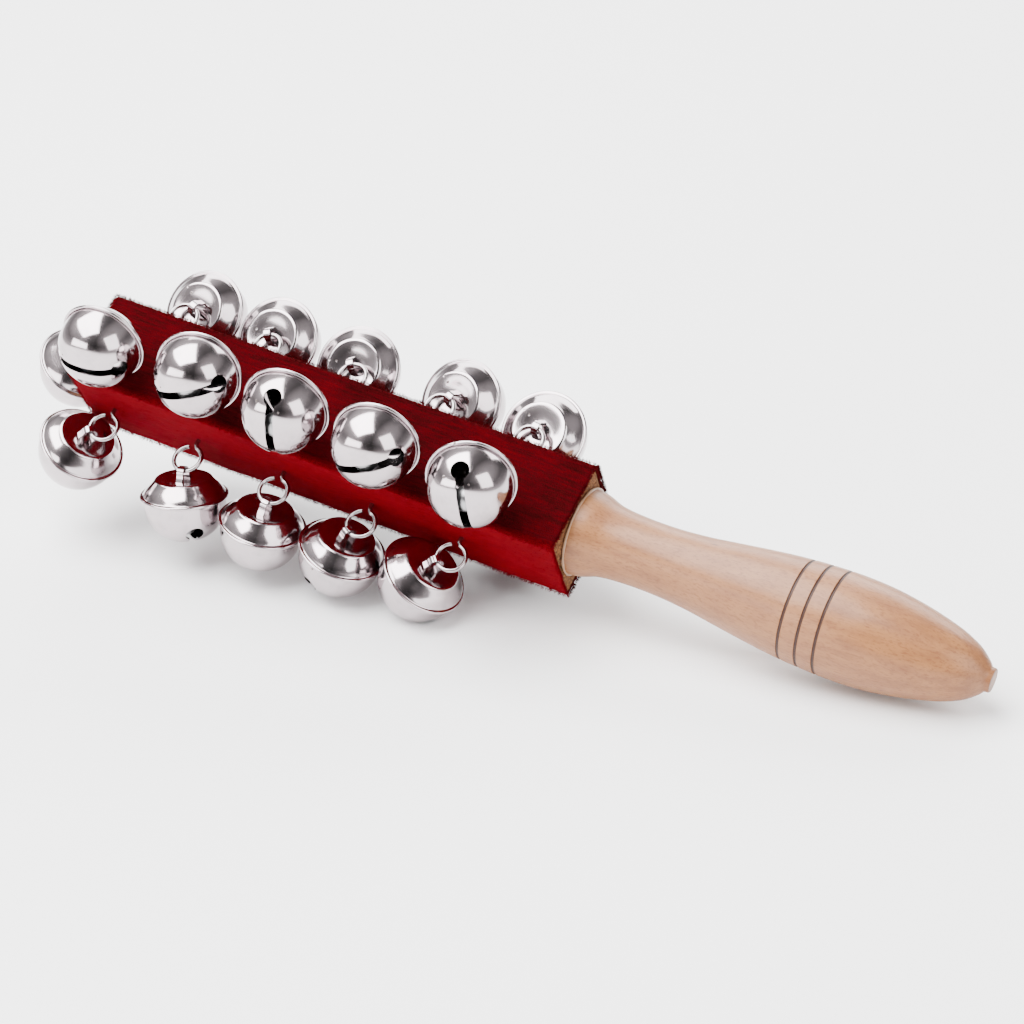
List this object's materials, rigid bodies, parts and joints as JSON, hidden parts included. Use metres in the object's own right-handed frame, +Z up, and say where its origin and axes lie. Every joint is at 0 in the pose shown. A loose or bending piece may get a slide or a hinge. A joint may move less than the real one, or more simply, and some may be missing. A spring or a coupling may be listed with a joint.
{
  "type": "sleigh bells",
  "caption": "Hand-held sleigh bells: round pellet bells hang from screw eyes on a square red velvet-covered block with a turned wooden handle.",
  "frame": {"origin": "middle of the bounding box's footprint, on the surface the stick lies on", "axes": "+X towards the handle's end, +Z up, lying on its bells and handle"},
  "size_m": [0.258, 0.0636, 0.0659],
  "materials": {
    "pale_turned_wood": "sanded, clear coated",
    "bare_core_wood": "sawn, bare",
    "red_velvet": "short pile",
    "bright_wire": "bright plated",
    "bright_nickel": "polished nickel plate",
    "steel_ball": "dull"
  },
  "bodies": {
    "stick": {"handle": "pale_turned_wood", "core_block": "bare_core_wood", "velvet_wrap": "red_velvet", "eye_front_1": "bright_wire", "eye_front_2": "bright_wire", "eye_front_3": "bright_wire", "eye_front_4": "bright_wire", "eye_front_5": "bright_wire", "eye_back_1": "bright_wire", "eye_back_2": "bright_wire", "eye_back_3": "bright_wire", "eye_back_4": "bright_wire", "eye_back_5": "bright_wire", "eye_lower_1": "bright_wire", "eye_lower_2": "bright_wire", "eye_lower_3": "bright_wire", "eye_lower_4": "bright_wire", "eye_lower_5": "bright_wire", "eye_under_1": "bright_wire", "eye_under_2": "bright_wire", "eye_under_3": "bright_wire", "eye_under_4": "bright_wire", "eye_under_5": "bright_wire", "eye_end": "bright_wire"},
    "bell_front_1": {"bell_front_1": "bright_nickel"},
    "bell_front_2": {"bell_front_2": "bright_nickel"},
    "bell_front_3": {"bell_front_3": "bright_nickel"},
    "bell_front_4": {"bell_front_4": "bright_nickel"},
    "bell_front_5": {"bell_front_5": "bright_nickel"},
    "bell_back_1": {"bell_back_1": "bright_nickel"},
    "bell_back_2": {"bell_back_2": "bright_nickel"},
    "bell_back_3": {"bell_back_3": "bright_nickel"},
    "bell_back_4": {"bell_back_4": "bright_nickel"},
    "bell_back_5": {"bell_back_5": "bright_nickel"},
    "bell_lower_1": {"bell_lower_1": "bright_nickel"},
    "bell_lower_2": {"bell_lower_2": "bright_nickel"},
    "bell_lower_3": {"bell_lower_3": "bright_nickel"},
    "bell_lower_4": {"bell_lower_4": "bright_nickel"},
    "bell_lower_5": {"bell_lower_5": "bright_nickel"},
    "bell_under_1": {"bell_under_1": "bright_nickel"},
    "bell_under_2": {"bell_under_2": "bright_nickel"},
    "bell_under_3": {"bell_under_3": "bright_nickel"},
    "bell_under_4": {"bell_under_4": "bright_nickel"},
    "bell_under_5": {"bell_under_5": "bright_nickel"},
    "bell_end": {"bell_end": "bright_nickel"},
    "pellet_front_1": {"pellet_front_1": "steel_ball"},
    "pellet_front_2": {"pellet_front_2": "steel_ball"},
    "pellet_front_3": {"pellet_front_3": "steel_ball"},
    "pellet_front_4": {"pellet_front_4": "steel_ball"},
    "pellet_front_5": {"pellet_front_5": "steel_ball"},
    "pellet_back_1": {"pellet_back_1": "steel_ball"},
    "pellet_back_2": {"pellet_back_2": "steel_ball"},
    "pellet_back_3": {"pellet_back_3": "steel_ball"},
    "pellet_back_4": {"pellet_back_4": "steel_ball"},
    "pellet_back_5": {"pellet_back_5": "steel_ball"},
    "pellet_lower_1": {"pellet_lower_1": "steel_ball"},
    "pellet_lower_2": {"pellet_lower_2": "steel_ball"},
    "pellet_lower_3": {"pellet_lower_3": "steel_ball"},
    "pellet_lower_4": {"pellet_lower_4": "steel_ball"},
    "pellet_lower_5": {"pellet_lower_5": "steel_ball"}
  },
  "joints": [
    {"name": "swing_front_1", "type": "hinge", "parent": "stick", "child": "bell_front_1", "pos_m": [-0.09549, -0.01441, 0.05761], "axis": [0.9856, 0.0587, -0.1586], "range_deg": [-133, 2]},
    {"name": "swing_front_2", "type": "hinge", "parent": "stick", "child": "bell_front_2", "pos_m": [-0.06928, -0.01417, 0.05339], "axis": [0.7411, 0.2857, -0.6076], "range_deg": [-116, 13]},
    {"name": "swing_front_3", "type": "hinge", "parent": "stick", "child": "bell_front_3", "pos_m": [-0.04464, -0.01412, 0.04984], "axis": [0.6915, 0.3093, -0.6528], "range_deg": [-122, 3]},
    {"name": "swing_front_4", "type": "hinge", "parent": "stick", "child": "bell_front_4", "pos_m": [-0.02, -0.01425, 0.04604], "axis": [0.5948, 0.2898, -0.7498], "range_deg": [-118, 3]},
    {"name": "swing_front_5", "type": "hinge", "parent": "stick", "child": "bell_front_5", "pos_m": [0.00435, -0.01483, 0.04136], "axis": [0.2866, 0.2679, -0.9198], "range_deg": [-63, 1]},
    {"name": "swing_back_1", "type": "hinge", "parent": "stick", "child": "bell_back_1", "pos_m": [-0.09244, 0.01534, 0.05198], "axis": [0.9235, -0.1955, -0.3299], "range_deg": [-5, 127]},
    {"name": "swing_back_2", "type": "hinge", "parent": "stick", "child": "bell_back_2", "pos_m": [-0.07039, 0.01526, 0.04875], "axis": [0.9428, 0.2762, 0.1864], "range_deg": [-7, 41]},
    {"name": "swing_back_3", "type": "hinge", "parent": "stick", "child": "bell_back_3", "pos_m": [-0.04648, 0.01498, 0.04532], "axis": [0.8692, 0.4307, 0.2429], "range_deg": [-3, 128]},
    {"name": "swing_back_4", "type": "hinge", "parent": "stick", "child": "bell_back_4", "pos_m": [-0.01886, 0.01526, 0.04184], "axis": [0.9109, -0.2654, -0.316], "range_deg": [-7, 125]},
    {"name": "swing_back_5", "type": "hinge", "parent": "stick", "child": "bell_back_5", "pos_m": [0.00472, 0.01541, 0.0387], "axis": [0.9827, -0.0569, -0.1763], "range_deg": [-2, 133]},
    {"name": "swing_lower_1", "type": "hinge", "parent": "stick", "child": "bell_lower_1", "pos_m": [-0.10234, -0.01846, 0.02922], "axis": [0.5748, -0.6179, -0.5364], "range_deg": [-109, 1]},
    {"name": "swing_lower_2", "type": "hinge", "parent": "stick", "child": "bell_lower_2", "pos_m": [-0.07467, -0.01945, 0.02469], "axis": [0.9946, 0.1018, 0.0209], "range_deg": [-110, 14]},
    {"name": "swing_lower_3", "type": "hinge", "parent": "stick", "child": "bell_lower_3", "pos_m": [-0.05082, -0.01947, 0.02133], "axis": [0.9834, 0.0303, -0.1787], "range_deg": [-116, 8]},
    {"name": "swing_lower_4", "type": "hinge", "parent": "stick", "child": "bell_lower_4", "pos_m": [-0.02812, -0.01904, 0.01847], "axis": [0.8099, -0.4285, -0.4005], "range_deg": [-117, 7]},
    {"name": "swing_lower_5", "type": "hinge", "parent": "stick", "child": "bell_lower_5", "pos_m": [-0.00445, -0.01854, 0.01583], "axis": [0.5696, -0.5984, -0.5634], "range_deg": [-112, 7]},
    {"name": "swing_under_1", "type": "hinge", "parent": "stick", "child": "bell_under_1", "pos_m": [-0.09933, 0.01037, 0.02293], "axis": [0.9939, -0.0202, -0.1083], "range_deg": [-134, 6]},
    {"name": "swing_under_2", "type": "hinge", "parent": "stick", "child": "bell_under_2", "pos_m": [-0.07474, 0.01037, 0.01954], "axis": [0.996, -0.0404, -0.0799], "range_deg": [-136, 4]},
    {"name": "swing_under_3", "type": "hinge", "parent": "stick", "child": "bell_under_3", "pos_m": [-0.0507, 0.01037, 0.01622], "axis": [0.9834, 0.0303, -0.1787], "range_deg": [-135, 5]},
    {"name": "swing_under_4", "type": "hinge", "parent": "stick", "child": "bell_under_4", "pos_m": [-0.02586, 0.01037, 0.0128], "axis": [0.9951, -0.0303, -0.0941], "range_deg": [-137, 3]},
    {"name": "swing_under_5", "type": "hinge", "parent": "stick", "child": "bell_under_5", "pos_m": [-0.0017, 0.01037, 0.00947], "axis": [0.9861, 0.0202, -0.1647], "range_deg": [-138, 2]},
    {"name": "swing_end", "type": "hinge", "parent": "stick", "child": "bell_end", "pos_m": [-0.11513, 0.00071, 0.04162], "axis": [0.7932, 0.5199, -0.3172], "range_deg": [-1, 99]},
    {"name": "rattle_front_1", "type": "slide", "parent": "bell_front_1", "child": "pellet_front_1", "axis": [-0.0567, 0.9434, 0.3269], "range_m": [0, 0.006]},
    {"name": "rattle_front_2", "type": "slide", "parent": "bell_front_2", "child": "pellet_front_2", "axis": [-0.2043, 0.9713, 0.1213], "range_m": [0, 0.006]},
    {"name": "rattle_front_3", "type": "slide", "parent": "bell_front_3", "child": "pellet_front_3", "axis": [-0.1479, 0.9642, 0.2201], "range_m": [0, 0.006]},
    {"name": "rattle_front_4", "type": "slide", "parent": "bell_front_4", "child": "pellet_front_4", "axis": [-0.1375, 0.9663, 0.2178], "range_m": [0, 0.006]},
    {"name": "rattle_front_5", "type": "slide", "parent": "bell_front_5", "child": "pellet_front_5", "axis": [-0.2904, 0.9392, 0.1831], "range_m": [0, 0.006]},
    {"name": "rattle_back_1", "type": "slide", "parent": "bell_back_1", "child": "pellet_back_1", "axis": [0.0144, -0.8419, 0.5394], "range_m": [0, 0.006]},
    {"name": "rattle_back_2", "type": "slide", "parent": "bell_back_2", "child": "pellet_back_2", "axis": [0.0654, -0.8396, 0.5393], "range_m": [0, 0.006]},
    {"name": "rattle_back_3", "type": "slide", "parent": "bell_back_3", "child": "pellet_back_3", "axis": [0.1467, -0.8365, 0.5279], "range_m": [0, 0.006]},
    {"name": "rattle_back_4", "type": "slide", "parent": "bell_back_4", "child": "pellet_back_4", "axis": [-0.0511, -0.8552, 0.5157], "range_m": [0, 0.006]},
    {"name": "rattle_back_5", "type": "slide", "parent": "bell_back_5", "child": "pellet_back_5", "axis": [0.0632, -0.7917, 0.6076], "range_m": [0, 0.006]},
    {"name": "rattle_lower_1", "type": "slide", "parent": "bell_lower_1", "child": "pellet_lower_1", "axis": [0.579, -0.1561, 0.8002], "range_m": [0, 0.006]},
    {"name": "rattle_lower_2", "type": "slide", "parent": "bell_lower_2", "child": "pellet_lower_2", "axis": [-0.0636, 0.0742, 0.9952], "range_m": [0, 0.006]},
    {"name": "rattle_lower_3", "type": "slide", "parent": "bell_lower_3", "child": "pellet_lower_3", "axis": [0.2306, -0.0222, 0.9728], "range_m": [0, 0.006]},
    {"name": "rattle_lower_4", "type": "slide", "parent": "bell_lower_4", "child": "pellet_lower_4", "axis": [0.3657, -0.093, 0.9261], "range_m": [0, 0.006]},
    {"name": "rattle_lower_5", "type": "slide", "parent": "bell_lower_5", "child": "pellet_lower_5", "axis": [0.605, -0.0823, 0.792], "range_m": [0, 0.006]}
  ]
}
